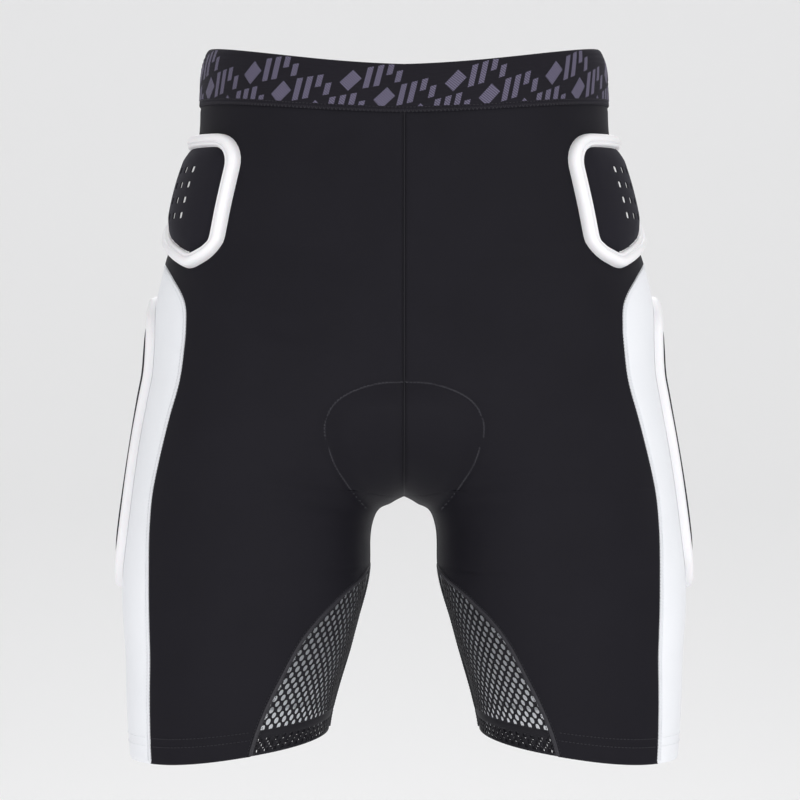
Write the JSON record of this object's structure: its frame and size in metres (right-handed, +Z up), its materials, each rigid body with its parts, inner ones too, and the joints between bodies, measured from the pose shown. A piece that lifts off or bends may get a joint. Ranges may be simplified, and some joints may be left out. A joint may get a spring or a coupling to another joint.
{
  "type": "padded impact shorts",
  "caption": "Black stretch shorts with white side panels, raised hip, thigh and tailbone pads, a seat pad, mesh inner legs and an elastic waistband.",
  "frame": {"origin": "bottom centre of the garment's box, level with the lowest point of the leg hems", "axes": "+Z up from the hems to the waist, the wearer faces -Y, the wearer's left is +X"},
  "size_m": [0.4268, 0.2464, 0.513],
  "materials": {
    "black_stretch": "matt black stretch knit with a faint sheen",
    "white_stretch": "white stretch knit",
    "black_mesh": "open black net",
    "band_elastic": "black woven elastic with a grey-violet motif",
    "seam_thread_black": "flat thread",
    "seam_thread_white": "flat thread",
    "white_rim": "satin moulded edging",
    "pad_face": "perforated black cloth",
    "white_foam": "soft foam",
    "chamois_cloth": "brushed lining",
    "label_cloth": "blank woven label"
  },
  "bodies": {
    "root": {"centre_back_seam": "seam_thread_black", "centre_front_seam": "seam_thread_black", "chamois_cover": "chamois_cloth", "chamois_foam": "white_foam", "front_panel_left": "black_stretch", "front_panel_right": "black_stretch", "hem_facing_left": "black_stretch", "hem_facing_right": "black_stretch", "hip_pad_face_left": "pad_face", "hip_pad_face_right": "pad_face", "hip_pad_foam_left": "white_foam", "hip_pad_foam_right": "white_foam", "hip_pad_rim_left": "white_rim", "hip_pad_rim_right": "white_rim", "inner_leg_mesh_left": "black_mesh", "inner_leg_mesh_right": "black_mesh", "inseam_tape_left": "seam_thread_black", "inseam_tape_right": "seam_thread_black", "mesh_hem_left": "black_mesh", "mesh_hem_right": "black_mesh", "mesh_seam_front_left": "seam_thread_black", "mesh_seam_front_right": "seam_thread_black", "rear_panel_left": "black_stretch", "rear_panel_right": "black_stretch", "side_panel_left": "white_stretch", "side_panel_right": "white_stretch", "side_seam_front_left": "seam_thread_white", "side_seam_front_right": "seam_thread_white", "side_seam_rear_left": "seam_thread_white", "side_seam_rear_right": "seam_thread_white", "size_label": "label_cloth", "tailbone_pad_face": "pad_face", "tailbone_pad_foam": "white_foam", "tailbone_pad_rim": "white_rim", "thigh_pad_face_left": "pad_face", "thigh_pad_face_right": "pad_face", "thigh_pad_foam_left": "white_foam", "thigh_pad_foam_right": "white_foam", "thigh_pad_rim_left": "white_rim", "thigh_pad_rim_right": "white_rim", "waistband": "band_elastic"}
  },
  "joints": []
}
